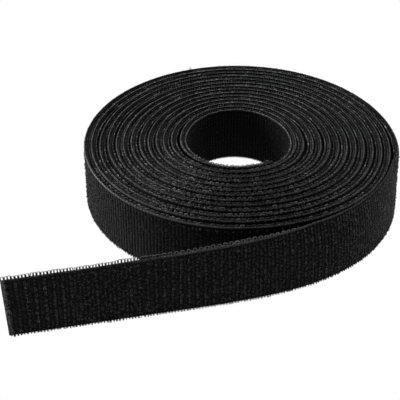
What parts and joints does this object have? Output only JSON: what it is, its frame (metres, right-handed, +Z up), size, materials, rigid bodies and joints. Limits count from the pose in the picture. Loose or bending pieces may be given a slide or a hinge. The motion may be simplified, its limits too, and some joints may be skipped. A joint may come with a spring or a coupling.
{
  "type": "hook and loop tape roll",
  "caption": "Coreless flat-wound roll of back-to-back hook and loop tape lying on its selvedge, with the loose outer end drawn out as a flexing tail.",
  "frame": {"origin": "on the surface that the roll lies on, under the middle of the whole roll with its tail", "axes": "+Z up along the roll's axis, +X to the right of the view in which the tail runs to the front left, +Y to the back"},
  "size_m": [0.1176, 0.1226, 0.02],
  "materials": {
    "loop_fabric": "black woven nylon with a napped loop pile",
    "hook_fabric": "black woven nylon with rows of stiff hooks",
    "bond_film": "black hot-melt film"
  },
  "bodies": {
    "roll": {"loop_ply_coil": "loop_fabric", "bond_film_coil": "bond_film", "hook_ply_coil": "hook_fabric"},
    "inner_end": {"loop_ply_inner_end": "loop_fabric", "bond_film_inner_end": "bond_film", "hook_ply_inner_end": "hook_fabric"},
    "tail_1": {"loop_ply_tail_1": "loop_fabric", "bond_film_tail_1": "bond_film", "hook_ply_tail_1": "hook_fabric"},
    "tail_2": {"loop_ply_tail_2": "loop_fabric", "bond_film_tail_2": "bond_film", "hook_ply_tail_2": "hook_fabric"},
    "tail_3": {"loop_ply_tail_3": "loop_fabric", "bond_film_tail_3": "bond_film", "hook_ply_tail_3": "hook_fabric"},
    "tail_4": {"loop_ply_tail_4": "loop_fabric", "bond_film_tail_4": "bond_film", "hook_ply_tail_4": "hook_fabric"},
    "tail_5": {"loop_ply_tail_5": "loop_fabric", "bond_film_tail_5": "bond_film", "hook_ply_tail_5": "hook_fabric"},
    "tail_6": {"loop_ply_tail_6": "loop_fabric", "bond_film_tail_6": "bond_film", "hook_ply_tail_6": "hook_fabric"}
  },
  "joints": [
    {"name": "inner_end_lift", "type": "hinge", "parent": "roll", "child": "inner_end", "pos_m": [-0.00132, -0.0034, 0.01], "axis": [0, 0, 1], "range_deg": [0, 35]},
    {"name": "tail_peel", "type": "hinge", "parent": "roll", "child": "tail_1", "pos_m": [0.05772, 0.01049, 0.01], "axis": [0, 0, 1], "range_deg": [0, 40]},
    {"name": "tail_flex_2", "type": "hinge", "parent": "tail_1", "child": "tail_2", "pos_m": [0.05212, -0.01313, 0.01], "axis": [0, 0, 1], "range_deg": [0, 40]},
    {"name": "tail_flex_3", "type": "hinge", "parent": "tail_2", "child": "tail_3", "pos_m": [0.03622, -0.0315, 0.01], "axis": [0, 0, 1], "range_deg": [-5, 40]},
    {"name": "tail_flex_4", "type": "hinge", "parent": "tail_3", "child": "tail_4", "pos_m": [0.01422, -0.04251, 0.01], "axis": [0, 0, 1], "range_deg": [-13.5, 40]},
    {"name": "tail_flex_5", "type": "hinge", "parent": "tail_4", "child": "tail_5", "pos_m": [-0.00981, -0.04897, 0.01], "axis": [0, 0, 1], "range_deg": [-32, 40]},
    {"name": "tail_flex_6", "type": "hinge", "parent": "tail_5", "child": "tail_6", "pos_m": [-0.03416, -0.05461, 0.01], "axis": [0, 0, 1], "range_deg": [-19.5, 40]}
  ]
}
